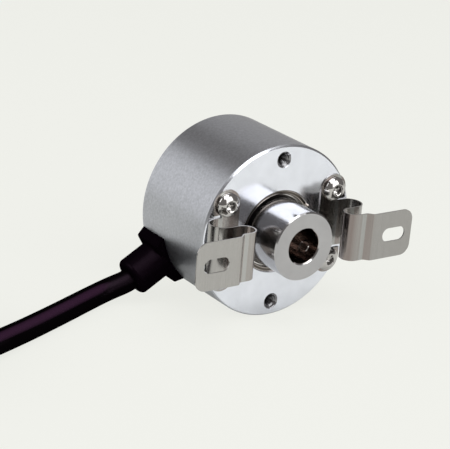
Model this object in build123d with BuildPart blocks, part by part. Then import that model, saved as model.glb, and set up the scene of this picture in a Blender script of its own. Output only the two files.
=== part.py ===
"""Incremental rotary encoder, 40 mm class, with a blind hollow shaft, a sheet-metal stator
coupling and a radial cable outlet. Millimetres.

The encoder's axis is Y. The front, where the shaft comes out, faces -Y. Z is up, and the
origin lies on the axis in the flange's front face. The encoder lies on its round side.
"""
from build123d import *
from math import atan2, cos, degrees, pi, radians, sin, tan
import os

# Housing
housing_d = 40.0
housing_l = 24.3
cap_wall = 1.4
cap_rear_wall = 1.3
cap_seat = 0.03          # radial clearance of the cap on the flange's spigot
rim_t = 0.9              # the flange's full-width rim, in front of the cap
rim_chamfer = 0.45
flange_t = 7.2           # the flange's plate, rim included
recess_chamfer = 0.15    # at the mouth of the bearing bore

# Holes in the flange's face
hole_edge = 3.3          # from the housing's side to a hole's centre
tap_angles = (90, -90)
screw_angles = (30, 150, 210, 330)
thread_d = 3.0
tap_d = 2.5
tap_mouth_d = 3.8
hole_depth = 5.0
thread_clear = 0.03      # radial clearance round a screw's thread

# Bearings, 10 x 19 x 5 with a crown cage and two shields each
brg_bore = 10.0
brg_od = 19.0
brg_w = 5.0
brg_chamfer = 0.2
ball_d = 2.381
ball_count = 9
race_clear = 0.02        # between a ball and its races
land_gap = 1.0           # from the balls' pitch circle to a ring's land
shield_t = 0.25
shield_inset = 0.25
shield_gap = 0.15        # between a shield and the inner ring
cage_t = 1.0
cage_back = 1.6          # from the ball's centre to the cage's closed side
cage_front = 0.6         # from the ball's centre to the cage's open side
pocket_clear = 0.05
seat_clear = 0.01        # radial, for pressed seats

# Rings that hold the bearings
snap_y = 0.45
snap_t = 0.9
snap_groove_depth = 0.5
snap_width = 1.45
snap_gap_angle = 27.0    # where the ring's gap stands, seen from the front
snap_gap = 1.5
wave_t = 1.0
wave_width = 0.9
wave_wall_gap = 0.1
lip_t = 0.75
lip_h = 0.9
clip_t = 0.6
clip_depth = 0.4
clip_height = 1.3
clip_gap = 3.0

# Hollow shaft
collar_d = 15.74
collar_front = 9.96      # how far the collar stands in front of the flange
collar_inset = 0.3       # how far it reaches into the flange
collar_chamfer = 0.3
shoulder_d = 11.8
bore_d = 8.0
bore_chamfer = 0.27
bore_depth = 14.5
shaft_end_y = 14.7
set_screw_from_face = 4.45
set_screw_angles = (-31.0, 59.0)
set_screw_d = 3.0
set_screw_hex = 1.5
set_screw_hex_depth = 1.4
set_screw_inset = 0.45   # below the collar's surface
set_screw_tip = 0.06     # short of the bore
set_screw_chamfer = 0.25

# Code disc on the shaft's rear end
disc_hub_d = 15.0
disc_hub_t = 1.45
disc_spigot_d = 11.2
disc_wall_gap = 4.3      # between the code disc and the cap's wall
disc_t = 0.4
disc_clear = 0.02
track_edge = 1.2         # from the disc's rim to the middle of its slots
code_slot_l = 1.4
code_slot_w = 0.7
code_slot_count = 48
clamp_d = 14.0
clamp_t = 0.5
disc_screw_d = 2.5
disc_screw_l = 6.0
disc_screw_head_d = 4.7
disc_screw_head_h = 1.0
disc_screw_slot = 0.5
disc_screw_end_gap = 0.5

# Scanning parts
scan_angle = 60.0
led_block_w = 6.0
led_block_t = 3.6
led_block_out = 0.8      # its middle stands this far outside the track
led_clear = 0.1          # between the block and the bearing hub
led_round = 0.4
led_gap = 0.9            # from the block's top to the disc
lens_d = 2.2
lens_h = 0.5
lens_round = 0.35
chip_w = 5.0
chip_t = 1.6
chip_chamfer = 0.2

# Circuit board
board_clear = 0.6        # between the disc's screw and the board
board_t = 1.0
board_gap = 0.4          # between its rim and the cap
post_d = 3.0
post_wall_gap = 0.7      # between a post and the cap's wall
post_angles = (0.0, 120.0, 240.0)
board_screw_d = 1.6
board_screw_l = 5.0
board_screw_head_d = 2.8
board_screw_head_h = 1.0
board_screw_clear = 0.1
head_chamfer = 0.3
connector_w = 9.0
connector_t = 4.0
connector_room = 1.7     # between the connector and the cap's rear wall
connector_chamfer = 0.3
board_slot_gap = 1.0     # between the connector and the board's cable slot
board_slot_side = 0.6    # between the crimp and the slot's side
connector_r = 6.6        # from the axis to the connector's middle

# O-ring between spigot and cap
oring_y = 6.1
oring_groove_w = 1.3
oring_groove_depth = 0.8
oring_side_gap = 0.05
oring_seat = 0.02
oring_corner = 0.3

# Stator coupling: one S-bent spring each side
sheet_t = 0.3
spring_w = 10.9
ear_r = 3.4
outer_bend_in = 2.6      # the outer bends' centre, inside the housing's side
outer_bend_r = 2.775
inner_bend_in = 5.3      # the inner bends' centre, inside the housing's side
inner_bend_r = 2.225
joggle_in = 3.3          # the wing's step starts this far inside the housing's side
joggle_l = 1.2
joggle_h = 1.15
joggle_r = 0.9
wing_reach = 9.0         # from the housing's side to the wing's end
wing_corner_r = 2.6
wing_slot_in = 5.1       # from the wing's end to the slot's centre
wing_slot_l = 6.4
wing_slot_w = 3.2
relief_w = 0.7
relief_l = 2.2
screw_hole_d = 3.2

# Button-head screws that hold the coupling
head_d = 5.5
head_h = 1.65
head_dome = 1.1
head_flat_d = 2.9        # flat round the socket
head_dome_r = 2.2
hex_af = 2.0
hex_depth = 1.05
screw_reach = 4.0        # thread length in the flange

# Cable outlet
outlet_angle = 210.5     # about Y, from +X towards +Z
outlet_in = 4.4          # from the housing's rear to the outlet's middle
cable_d = 5.2
boot_w = 12.4
boot_top_w = 10.8
boot_l = 8.8
boot_taper = 0.6         # the saddle's outer face is this much shorter
boot_h = 1.5             # from the housing's side to the saddle's outer face
boot_tube_l = 7.5
boot_tube_d = 9.0
boot_tube_round = 1.1
boot_edge = 0.5
boot_seat = 0.02
neck_d = 6.0
neck_clear = 0.04
neck_in = 1.4            # how far the neck reaches inside the cap's wall
jacket_in = 2.6          # how far the jacket reaches inside the neck
crimp_d = 5.9
crimp_l = 1.8
wire_d = 0.9
wire_count = 5
wire_pitch = 1.2
wire_straight = 1.6

# The cable outside. Its radius is at half of cable_d above the floor at z = -20.
cable_straight = 3.48    # out of the boot
cable_route = [
    (-31.340, 19.750, -17.400),
    (-36.900, 18.500, -17.400),
    (-45.000, 15.200, -17.400),
    (-57.600, 9.200, -16.600),
    (-67.500, 4.400, -16.600),
]
cable_tail_route = [
    (-120.190, -5.770, -6.200),
    (-127.750, -3.150, -6.200),
    (-135.040, 1.230, -8.000),
    (-140.500, 7.740, -12.000),
    (-143.550, 15.680, -15.900),
    (-143.990, 24.170, -17.300),
    (-142.400, 31.000, -17.400),
]
coil_centre = (-99.5, 24.5)
coil_r = 26.2
coil_pitch = 5.2
coil_columns = 3
coil_layers = 3
coil_corner = 2.5
coil_exit_r = 45.0       # the last turn opens along this arc
coil_exit_arc = 45.0
tie_t = 0.8
tie_w = 3.0
tie_angles = (26.0, 206.0)
lead_wire_d = 1.2
lead_wire_l = 20.0
lead_wire_spread = 2.6   # between their ends
lead_wire_rest = 0.05    # above the floor
lead_wire_pitch = 0.72   # across the cable's end
lead_wire_rows = (-0.6, 1.0)

# Worked out from the values above
housing_r = housing_d / 2
floor_z = -housing_r
coil_floor = floor_z + tie_t
cap_inner_r = housing_r - cap_wall
cap_inner_y = housing_l - cap_rear_wall
spigot_r = cap_inner_r - cap_seat
hole_r = housing_r - hole_edge
seat_r = brg_od / 2 + seat_clear
journal_r = brg_bore / 2 - seat_clear
front_brg_y = snap_y + snap_t
rear_brg_y = front_brg_y + brg_w + wave_t
lip_y = rear_brg_y + brg_w
ball_pitch_r = (brg_bore + brg_od) / 4
inner_land_r = ball_pitch_r - land_gap
outer_land_r = ball_pitch_r + land_gap
collar_y = -collar_front
bore_end_y = collar_y + bore_depth
set_screw_y = collar_y + set_screw_from_face
clip_y = lip_y
clip_floor_r = journal_r - clip_depth
disc_hub_y = clip_y + clip_t
disc_y = disc_hub_y + disc_hub_t
clamp_y = disc_y + disc_t
disc_r = cap_inner_r - disc_wall_gap
track_r = disc_r - track_edge
hub_r = track_r + led_block_out - led_block_t / 2 - led_clear   # outside of the bearing hub
board_r = cap_inner_r - board_gap
disc_screw_y = clamp_y + clamp_t
board_y = disc_screw_y + disc_screw_head_h + board_clear
board_back = board_y + board_t
post_pitch_r = cap_inner_r - post_d / 2 - post_wall_gap
connector_h = cap_inner_y - board_back - connector_room
outlet_y = housing_l - outlet_in
boot_face = housing_r + boot_h
boot_end = boot_face + boot_tube_l
neck_end = cap_inner_r - neck_in
cable_end_r = neck_end - jacket_in
wing_x = housing_r + wing_reach
outlet = Vector(cos(radians(outlet_angle)), 0, sin(radians(outlet_angle)))
outlet_across = Vector(sin(radians(outlet_angle)), 0, -cos(radians(outlet_angle)))
cable_start = [tuple(outlet * r + Vector(0, outlet_y, 0)) for r in (boot_end, boot_end + cable_straight)]
cable_route = cable_start + cable_route

os.makedirs("parts", exist_ok=True)


def save(builder, name):
    """Labels a finished piece and writes it."""
    builder.part.label = name
    export_step(builder.part, f"parts/{name}.step")


def ring(r_in, r_out, y_from, y_to, mode=Mode.ADD):
    """A turned ring about the encoder's axis."""
    with BuildSketch(Plane.XY) as section:
        with Locations(((r_in + r_out) / 2, (y_from + y_to) / 2)):
            Rectangle(r_out - r_in, y_to - y_from)
    revolve(section.sketch, axis=Axis.Y, mode=mode)


def face_plane(y):
    """A plane across the axis at y, drawn in X and Z, that extrudes towards the rear."""
    return Plane(origin=(0, y, 0), x_dir=(-1, 0, 0), z_dir=(0, 1, 0))


def on_face(r, angle):
    """A point of face_plane at a radius and an angle seen from the front."""
    return (-r * cos(radians(angle)), r * sin(radians(angle)))


def turned_on_face(r, angle):
    """A place of face_plane at a radius and an angle, turned to face outwards."""
    return Location((*on_face(r, angle), 0), (0, 0, 1), 180 - angle)


def outlet_plane(distance):
    """A plane across the cable outlet, at a distance from the axis."""
    return Plane(origin=outlet * distance + Vector(0, outlet_y, 0), x_dir=(0, 1, 0), z_dir=outlet)


def cord_radii(points):
    """The largest gentle arc at each corner of a route."""
    radii = []
    for before, here, after in zip(points, points[1:], points[2:]):
        first = Vector(*here) - Vector(*before)
        second = Vector(*after) - Vector(*here)
        half_turn = radians(first.get_angle(second)) / 2
        radii.append(0.45 * min(first.length, second.length) / tan(half_turn))
    return radii


def tube(points, diameter):
    """A round tube along a route of straight runs joined by arcs, as its own part."""
    with BuildPart(mode=Mode.PRIVATE) as body:
        with BuildLine() as path:
            FilletPolyline(*points, radius=cord_radii(points))
        spine = path.wire()
        with BuildSketch(Plane(origin=spine @ 0, z_dir=spine % 0)):
            Circle(diameter / 2)
        sweep(path=spine)
    return body.part, spine.length


# Flange: plate with rim, spigot and bearing hub
with BuildPart() as flange:
    with BuildSketch(Plane.XY):
        with BuildLine():
            Polyline(
                (seat_r, 0),
                (housing_r, 0),
                (housing_r, rim_t),
                (spigot_r, rim_t),
                (spigot_r, flange_t),
                (hub_r, flange_t),
                (hub_r, lip_y + lip_t),
                (seat_r - lip_h, lip_y + lip_t),
                (seat_r - lip_h, lip_y),
                (seat_r, lip_y),
                close=True,
            )
        make_face()
    revolve(axis=Axis.Y)
    front_edges = flange.edges().filter_by(GeomType.CIRCLE).group_by(Axis.Y)[0]
    chamfer(front_edges.sort_by(SortBy.RADIUS)[-1], rim_chamfer)
    front_edges = flange.edges().filter_by(GeomType.CIRCLE).group_by(Axis.Y)[0]
    chamfer(front_edges.sort_by(SortBy.RADIUS)[0], recess_chamfer)
    ring(seat_r - 0.1, seat_r + snap_groove_depth, snap_y, snap_y + snap_t, Mode.SUBTRACT)
    ring(spigot_r - oring_groove_depth, spigot_r + 0.1, oring_y - oring_groove_w / 2,
         oring_y + oring_groove_w / 2, Mode.SUBTRACT)
    with BuildSketch(face_plane(0)):
        with Locations(*[on_face(hole_r, a) for a in tap_angles]):
            Circle(tap_d / 2)
    extrude(amount=hole_depth, mode=Mode.SUBTRACT)
    with BuildSketch(face_plane(0)):
        with Locations(*[on_face(hole_r, a) for a in screw_angles]):
            Circle(thread_d / 2 + thread_clear)
    extrude(amount=hole_depth, mode=Mode.SUBTRACT)
    tap_edges = flange.edges().filter_by(GeomType.CIRCLE).group_by(Axis.Y)[0]
    chamfer(tap_edges.filter_by(lambda e: abs(e.radius - tap_d / 2) < 0.01), (tap_mouth_d - tap_d) / 2)
    with BuildSketch(face_plane(flange_t)):
        with Locations(*[on_face(post_pitch_r, a) for a in post_angles]):
            Circle(board_screw_d / 2)
    extrude(amount=-hole_depth / 2, mode=Mode.SUBTRACT)
save(flange, "flange")

# Cap: a cup pushed over the spigot, with a round window for the cable boot
with BuildPart() as housing_cap:
    with BuildSketch(Plane.XY):
        with BuildLine():
            Polyline(
                (cap_inner_r, rim_t),
                (housing_r, rim_t),
                (housing_r, housing_l),
                (0, housing_l),
                (0, cap_inner_y),
                (cap_inner_r, cap_inner_y),
                close=True,
            )
        make_face()
    revolve(axis=Axis.Y)
    with BuildSketch(outlet_plane(cap_inner_r - cap_wall)):
        Circle(neck_d / 2 + neck_clear)
    extrude(amount=3 * cap_wall, mode=Mode.SUBTRACT)
save(housing_cap, "housing_cap")

# O-ring, squeezed between the groove's floor and the cap
with BuildPart() as o_ring:
    oring_in = spigot_r - oring_groove_depth + oring_seat
    oring_out = cap_inner_r - oring_seat
    with BuildSketch(Plane.XY):
        with Locations(((oring_in + oring_out) / 2, oring_y)):
            RectangleRounded(oring_out - oring_in, oring_groove_w - 2 * oring_side_gap, oring_corner)
    revolve(axis=Axis.Y)
save(o_ring, "o_ring")


def bearing_rings(y, which):
    """Outer and inner ring of one bearing whose front face is at y."""
    middle = y + brg_w / 2
    groove_r = ball_d / 2 + race_clear
    rings = {"outer": (outer_land_r, brg_od / 2), "inner": (brg_bore / 2, inner_land_r)}
    for side, (r_in, r_out) in rings.items():
        with BuildPart() as bearing_ring:
            with BuildSketch(Plane.XY):
                with Locations(((r_in + r_out) / 2, middle)):
                    Rectangle(r_out - r_in, brg_w)
                seat_corners = vertices().group_by(Axis.X)[-1 if side == "outer" else 0]
                chamfer(seat_corners, brg_chamfer)
                with Locations((ball_pitch_r, middle)):
                    Circle(groove_r, mode=Mode.SUBTRACT)
            revolve(axis=Axis.Y)
        save(bearing_ring, f"{which}_bearing_{side}")


def bearing_balls(y, which):
    """The balls and the crown cage of one bearing."""
    middle = y + brg_w / 2
    with BuildPart() as balls:
        with BuildSketch(Plane.XY) as half_disc:
            with BuildLine():
                CenterArc((ball_pitch_r, middle), ball_d / 2, -90, 180)
                Line((ball_pitch_r, middle + ball_d / 2), (ball_pitch_r, middle - ball_d / 2))
            make_face()
        revolve(axis=Axis((ball_pitch_r, middle, 0), (0, 1, 0)))
        ball = balls.part
        for i in range(1, ball_count):
            add(ball.rotate(Axis.Y, 360 * i / ball_count))
    save(balls, f"{which}_balls")
    with BuildPart() as cage:
        ring(ball_pitch_r - cage_t / 2, ball_pitch_r + cage_t / 2, middle - cage_back, middle + cage_front)
        for i in range(ball_count):
            angle = 2 * pi * i / ball_count
            outward = Vector(cos(angle), 0, -sin(angle))
            with BuildSketch(Plane(origin=(0, middle, 0), x_dir=(0, 1, 0), z_dir=outward)) as pocket:
                Circle(ball_d / 2 + pocket_clear)
            extrude(pocket.sketch, amount=brg_od / 2, mode=Mode.SUBTRACT)
    save(cage, f"{which}_cage")


for which, brg_y in (("front", front_brg_y), ("rear", rear_brg_y)):
    bearing_rings(brg_y, which)
    bearing_balls(brg_y, which)

# Two shields in each outer ring
with BuildPart() as bearing_shields:
    for brg_y in (front_brg_y, rear_brg_y):
        for y in (brg_y + shield_inset, brg_y + brg_w - shield_inset - shield_t):
            ring(inner_land_r + shield_gap, outer_land_r, y, y + shield_t)
save(bearing_shields, "bearing_shields")

# Snap ring in the flange's bore, open at one place
with BuildPart() as snap_ring:
    snap_outer = seat_r + snap_groove_depth - 0.05
    ring(snap_outer - snap_width, snap_outer, snap_y, snap_y + snap_t)
    with BuildSketch(face_plane(snap_y)):
        with Locations(Location((0, 0, 0), (0, 0, 1), 180 - snap_gap_angle)):
            with Locations((snap_outer, 0)):
                Rectangle(2 * snap_width + 2, snap_gap)
    extrude(amount=snap_t, mode=Mode.SUBTRACT)
save(snap_ring, "snap_ring")

# Wave washer that loads the outer rings apart
with BuildPart() as wave_washer:
    wave_outer = seat_r - wave_wall_gap
    ring(wave_outer - wave_width, wave_outer, front_brg_y + brg_w, rear_brg_y)
save(wave_washer, "wave_washer")

# Sleeve between the inner rings
with BuildPart() as bearing_spacer:
    ring(journal_r + seat_clear, inner_land_r - 0.2, front_brg_y + brg_w, rear_brg_y)
save(bearing_spacer, "bearing_spacer")

# Shaft: thick front collar with the blind bore, journal, and a stub for the code disc
with BuildPart() as hollow_shaft:
    with BuildSketch(Plane.XY):
        with BuildLine():
            Polyline(
                (bore_d / 2, collar_y),
                (collar_d / 2, collar_y),
                (collar_d / 2, collar_inset),
                (shoulder_d / 2, collar_inset),
                (shoulder_d / 2, front_brg_y),
                (journal_r, front_brg_y),
                (journal_r, clip_y),
                (clip_floor_r, clip_y),
                (clip_floor_r, clip_y + clip_t),
                (journal_r, clip_y + clip_t),
                (journal_r, shaft_end_y),
                (0, shaft_end_y),
                (0, bore_end_y),
                (bore_d / 2, bore_end_y),
                close=True,
            )
        make_face()
    revolve(axis=Axis.Y)
    face_edges = hollow_shaft.edges().filter_by(GeomType.CIRCLE).group_by(Axis.Y)[0]
    chamfer(face_edges.sort_by(SortBy.RADIUS)[-1], collar_chamfer)
    face_edges = hollow_shaft.edges().filter_by(GeomType.CIRCLE).group_by(Axis.Y)[0]
    chamfer(face_edges.sort_by(SortBy.RADIUS)[0], bore_chamfer)
    for angle in set_screw_angles:
        outward = Vector(cos(radians(angle)), 0, sin(radians(angle)))
        with BuildSketch(Plane(origin=outward * (bore_d / 4) + Vector(0, set_screw_y, 0), z_dir=outward)):
            Circle(set_screw_d / 2)
        extrude(amount=collar_d / 2, mode=Mode.SUBTRACT)
    with BuildSketch(face_plane(shaft_end_y)):
        Circle(disc_screw_d / 2)
    extrude(amount=-disc_screw_l, mode=Mode.SUBTRACT)
save(hollow_shaft, "hollow_shaft")

# Socket set screws through the collar, their tips short of the bore
with BuildPart() as set_screws:
    for angle in set_screw_angles:
        outward = Vector(cos(radians(angle)), 0, sin(radians(angle)))
        foot = bore_d / 2 + set_screw_tip
        head = collar_d / 2 - set_screw_inset
        with BuildPart(mode=Mode.PRIVATE) as screw:
            with BuildSketch(Plane(origin=outward * foot + Vector(0, set_screw_y, 0), z_dir=outward)):
                Circle(set_screw_d / 2 - thread_clear)
            extrude(amount=head - foot)
            ends = screw.edges().filter_by(GeomType.CIRCLE)
            chamfer(ends, set_screw_chamfer)
            with BuildSketch(Plane(origin=outward * head + Vector(0, set_screw_y, 0), z_dir=outward)):
                RegularPolygon(set_screw_hex / 2, 6, major_radius=False)
            extrude(amount=-set_screw_hex_depth, mode=Mode.SUBTRACT)
        add(screw.part)
save(set_screws, "set_screws")

# Open clip behind the rear bearing
with BuildPart() as shaft_circlip:
    ring(clip_floor_r, clip_floor_r + clip_height, clip_y, clip_y + clip_t)
    with BuildSketch(face_plane(clip_y)):
        with Locations((0, -clip_floor_r - clip_height / 2)):
            Rectangle(clip_gap, 2 * clip_height)
    extrude(amount=clip_t, mode=Mode.SUBTRACT)
save(shaft_circlip, "shaft_circlip")

# Hub that carries the code disc
with BuildPart() as disc_hub:
    ring(journal_r + seat_clear, disc_hub_d / 2, disc_hub_y, disc_y)
    ring(journal_r + seat_clear, disc_spigot_d / 2, disc_y, clamp_y)
save(disc_hub, "disc_hub")

# Slotted code disc
with BuildPart() as code_disc:
    with BuildSketch(face_plane(disc_y)):
        Circle(disc_r)
        Circle(disc_spigot_d / 2 + disc_clear, mode=Mode.SUBTRACT)
        with PolarLocations(track_r, code_slot_count):
            Rectangle(code_slot_l, code_slot_w, mode=Mode.SUBTRACT)
    extrude(amount=disc_t)
save(code_disc, "code_disc")

# Clamp washer and its screw
with BuildPart() as disc_clamp:
    ring(disc_screw_d / 2 + thread_clear, clamp_d / 2, clamp_y, clamp_y + clamp_t)
save(disc_clamp, "disc_clamp")

with BuildPart() as disc_screw:
    with BuildSketch(face_plane(disc_screw_y)):
        Circle(disc_screw_d / 2 - thread_clear)
    extrude(amount=-(disc_screw_y - shaft_end_y + disc_screw_l - disc_screw_end_gap))
    with BuildSketch(face_plane(disc_screw_y)):
        Circle(disc_screw_head_d / 2)
    extrude(amount=disc_screw_head_h)
    chamfer(disc_screw.edges().filter_by(GeomType.CIRCLE).group_by(Axis.Y)[-1], head_chamfer)
    with BuildSketch(face_plane(disc_screw_y + disc_screw_head_h)):
        Rectangle(2 * disc_screw_head_d, disc_screw_slot)
    extrude(amount=-disc_screw_head_h / 2, mode=Mode.SUBTRACT)
save(disc_screw, "disc_screw")

# Light source in front of the disc, with its lens. Its block stands beside the bearing hub.
led_top = disc_y - led_gap
with BuildPart() as led_holder:
    with BuildSketch(face_plane(flange_t)):
        with Locations(turned_on_face(track_r + led_block_out, scan_angle)):
            Rectangle(led_block_t, led_block_w)
    extrude(amount=led_top - flange_t)
    fillet(led_holder.edges().filter_by(Axis.Y), led_round)
save(led_holder, "led_holder")

with BuildPart() as led_lens:
    with BuildSketch(face_plane(led_top)):
        with Locations(on_face(track_r, scan_angle)):
            Circle(lens_d / 2)
    extrude(amount=lens_h)
    fillet(led_lens.edges().filter_by(GeomType.CIRCLE).group_by(Axis.Y)[-1], lens_round)
save(led_lens, "led_lens")

# Board on three posts, with the cable's place cut out
with BuildPart() as board_posts:
    with BuildSketch(face_plane(flange_t)):
        with Locations(*[on_face(post_pitch_r, a) for a in post_angles]):
            Circle(post_d / 2)
            Circle(board_screw_d / 2, mode=Mode.SUBTRACT)
    extrude(amount=board_y - flange_t)
save(board_posts, "board_posts")

with BuildPart() as main_board:
    with BuildSketch(face_plane(board_y)):
        Circle(board_r)
        with Locations(*[on_face(post_pitch_r, a) for a in post_angles]):
            Circle(board_screw_d / 2 + board_screw_clear, mode=Mode.SUBTRACT)
        with Locations(turned_on_face(cap_inner_r, outlet_angle)):
            slot_l = cap_inner_r - connector_r - connector_t / 2 - board_slot_gap
            Rectangle(2 * slot_l, crimp_d + 2 * board_slot_side, mode=Mode.SUBTRACT)
    extrude(amount=board_t)
save(main_board, "main_board")

with BuildPart() as board_screws:
    with BuildSketch(face_plane(board_back)):
        with Locations(*[on_face(post_pitch_r, a) for a in post_angles]):
            Circle(board_screw_head_d / 2)
    extrude(amount=board_screw_head_h)
    chamfer(board_screws.edges().filter_by(GeomType.CIRCLE).group_by(Axis.Y)[-1], head_chamfer)
    with BuildSketch(face_plane(board_back)):
        with Locations(*[on_face(post_pitch_r, a) for a in post_angles]):
            Circle(board_screw_d / 2 - thread_clear)
    extrude(amount=-board_screw_l)
save(board_screws, "board_screws")

# Light sensor on the board's front, under the disc's track
with BuildPart() as sensor_chip:
    with BuildSketch(face_plane(board_y)):
        with Locations(turned_on_face(track_r, scan_angle)):
            Rectangle(chip_w, chip_w)
    extrude(amount=-chip_t)
    chamfer(sensor_chip.faces().sort_by(Axis.Y)[0].edges(), chip_chamfer)
save(sensor_chip, "sensor_chip")

# Line drivers and the small parts beside them
# Each: how far inside the board's rim, its angle, its sides and its height
chip_places = [
    (6.4, 50.0, 5.0, 4.0, 1.2),
    (6.4, 118.0, 5.0, 4.0, 1.2),
    (8.4, -15.0, 4.0, 4.0, 0.9),
    (5.0, -81.0, 3.2, 1.6, 1.2),
    (5.0, -60.0, 1.6, 0.8, 0.8),
    (4.8, 17.0, 1.6, 0.8, 0.8),
    (3.6, 86.0, 1.6, 0.8, 0.8),
]
with BuildPart() as board_chips:
    for inset, angle, width, depth, height in chip_places:
        with BuildSketch(face_plane(board_back)):
            with Locations(on_face(board_r - inset, angle)):
                Rectangle(width, depth)
        extrude(amount=height)
save(board_chips, "board_chips")

# Connector that takes the cable's wires, and the wires
with BuildPart() as wire_connector:
    with BuildSketch(face_plane(board_back)):
        with Locations(turned_on_face(connector_r, outlet_angle)):
            Rectangle(connector_t, connector_w)
    extrude(amount=connector_h)
    chamfer(wire_connector.faces().sort_by(Axis.Y)[-1].edges(), connector_chamfer)
save(wire_connector, "wire_connector")

wire_starts = [(0, 1.5), (-1.5, 0.2), (0, -1.3), (1.5, 0.2), (0, 0.1)]
wire_order = [0, -2, -1, 2, 1]
with BuildPart() as inner_wires:
    for (across, along), slot in zip(wire_starts, wire_order):
        start = outlet * cable_end_r + outlet_across * across + Vector(0, outlet_y + along, 0)
        stop_r = connector_r + connector_t / 2
        stop_y = board_back + connector_h / 2
        stop = outlet * stop_r + outlet_across * (slot * wire_pitch * 1.5) + Vector(0, stop_y, 0)
        lead_in = start - outlet * wire_straight
        lead_out = stop + outlet * wire_straight
        route = [tuple(start), tuple(lead_in), tuple(lead_out), tuple(stop)]
        add(tube(route, wire_d)[0])
save(inner_wires, "inner_wires")

# Jacket's end inside the housing, and the crimp that stops it being pulled out
with BuildPart() as cable_end:
    with BuildSketch(outlet_plane(cable_end_r)):
        Circle(cable_d / 2)
    extrude(amount=neck_end - cable_end_r)
save(cable_end, "cable_end")

with BuildPart() as cable_crimp:
    with BuildSketch(outlet_plane(neck_end - crimp_l)):
        Circle(crimp_d / 2)
        Circle(cable_d / 2 + seat_clear, mode=Mode.SUBTRACT)
    extrude(amount=crimp_l)
save(cable_crimp, "cable_crimp")

# Moulded boot: a saddle on the round wall, its tube outside and its neck inside
with BuildPart() as cable_boot:
    with BuildSketch(outlet_plane(cap_inner_r)):
        Rectangle(boot_l, boot_w)
    with BuildSketch(outlet_plane(boot_face)):
        Rectangle(boot_l - boot_taper, boot_top_w)
    loft()
    fillet(cable_boot.faces().sort_by(Axis(origin=(0, 0, 0), direction=outlet))[-1].edges(), boot_edge)
    ring(0, housing_r + boot_seat, 0, 2 * housing_l, Mode.SUBTRACT)
    with BuildSketch(outlet_plane(boot_face - boot_h / 2)):
        Circle(boot_tube_d / 2)
    extrude(amount=boot_tube_l + boot_h / 2)
    tip = cable_boot.faces().sort_by(Axis(origin=(0, 0, 0), direction=outlet))[-1]
    fillet(tip.edges(), boot_tube_round)
    with BuildSketch(outlet_plane(neck_end)):
        Circle(neck_d / 2)
    extrude(amount=boot_face - boot_h / 4 - neck_end)
save(cable_boot, "cable_boot")

# Coupling springs: strap with two ears, two U-bends and the slotted wing
with BuildPart() as right_coupling_spring:
    ear_x = hole_r * cos(radians(screw_angles[0]))
    ear_z = hole_r * sin(radians(screw_angles[0]))
    outer_bend_x = housing_r - outer_bend_in
    inner_bend_x = housing_r - inner_bend_in
    joggle_x = housing_r - joggle_in
    mid = sheet_t / 2
    leg_2 = mid + 2 * outer_bend_r
    leg_3 = leg_2 + 2 * inner_bend_r
    wing = leg_3 + joggle_h
    with BuildSketch(Plane.XY):
        with BuildLine():
            Line((ear_x, -mid), (outer_bend_x, -mid))
            CenterArc((outer_bend_x, -mid - outer_bend_r), outer_bend_r, 90, -180)
            Line((outer_bend_x, -leg_2), (inner_bend_x, -leg_2))
            CenterArc((inner_bend_x, -leg_2 - inner_bend_r), inner_bend_r, 90, 180)
            FilletPolyline(
                (inner_bend_x, -leg_3),
                (joggle_x, -leg_3),
                (joggle_x + joggle_l, -wing),
                (wing_x, -wing),
                radius=joggle_r,
            )
        trace(line_width=sheet_t)
    extrude(amount=spring_w / 2, both=True)
    wing_edges = right_coupling_spring.edges().filter_by(Axis.Y).group_by(Axis.X)[-1]
    fillet(wing_edges, wing_corner_r)
    with BuildSketch(face_plane(-wing - sheet_t)):
        with Locations((-(wing_x - wing_slot_in), 0)):
            SlotOverall(wing_slot_l, wing_slot_w)
    extrude(amount=2 * sheet_t, mode=Mode.SUBTRACT)
    with BuildSketch(face_plane(-sheet_t)):
        with Locations((-ear_x, 0)):
            SlotCenterToCenter(2 * ear_z, 2 * ear_r, rotation=90)
        relief_x = ear_x + ear_r - relief_l / 2
        relief_z = (spring_w + relief_w) / 2
        with Locations((-relief_x, relief_z), (-relief_x, -relief_z)):
            Rectangle(relief_l, relief_w, mode=Mode.SUBTRACT)
        with Locations((-ear_x, ear_z), (-ear_x, -ear_z)):
            Circle(screw_hole_d / 2, mode=Mode.SUBTRACT)
    extrude(amount=sheet_t)
save(right_coupling_spring, "right_coupling_spring")

with BuildPart() as left_coupling_spring:
    add(right_coupling_spring.part.mirror(Plane.YZ))
save(left_coupling_spring, "left_coupling_spring")

# Button-head screws with hexagon sockets
head_top = -sheet_t - head_h
with BuildPart() as coupling_screws:
    for angle in screw_angles:
        x, z = hole_r * cos(radians(angle)), hole_r * sin(radians(angle))
        with BuildPart(mode=Mode.PRIVATE) as button:
            with BuildSketch(Plane.XY):
                with BuildLine():
                    Polyline(
                        (head_flat_d / 2, head_top),
                        (0, head_top),
                        (0, screw_reach),
                        (thread_d / 2, screw_reach),
                        (thread_d / 2, -sheet_t),
                        (head_d / 2, -sheet_t),
                        (head_d / 2, head_top + head_dome),
                    )
                    RadiusArc((head_d / 2, head_top + head_dome), (head_flat_d / 2, head_top), head_dome_r)
                make_face()
            revolve(axis=Axis.Y)
            with BuildSketch(face_plane(head_top)):
                RegularPolygon(hex_af / 2, 6, major_radius=False)
            extrude(amount=hex_depth, mode=Mode.SUBTRACT)
        add(button.part.moved(Location((x, 0, z))))
save(coupling_screws, "coupling_screws")

# Cable from the boot to the coil, then the coil with its straight ends
lead, lead_l = tube(cable_route, cable_d)
with BuildPart() as cable_lead:
    add(lead)
save(cable_lead, "cable_lead")

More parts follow.
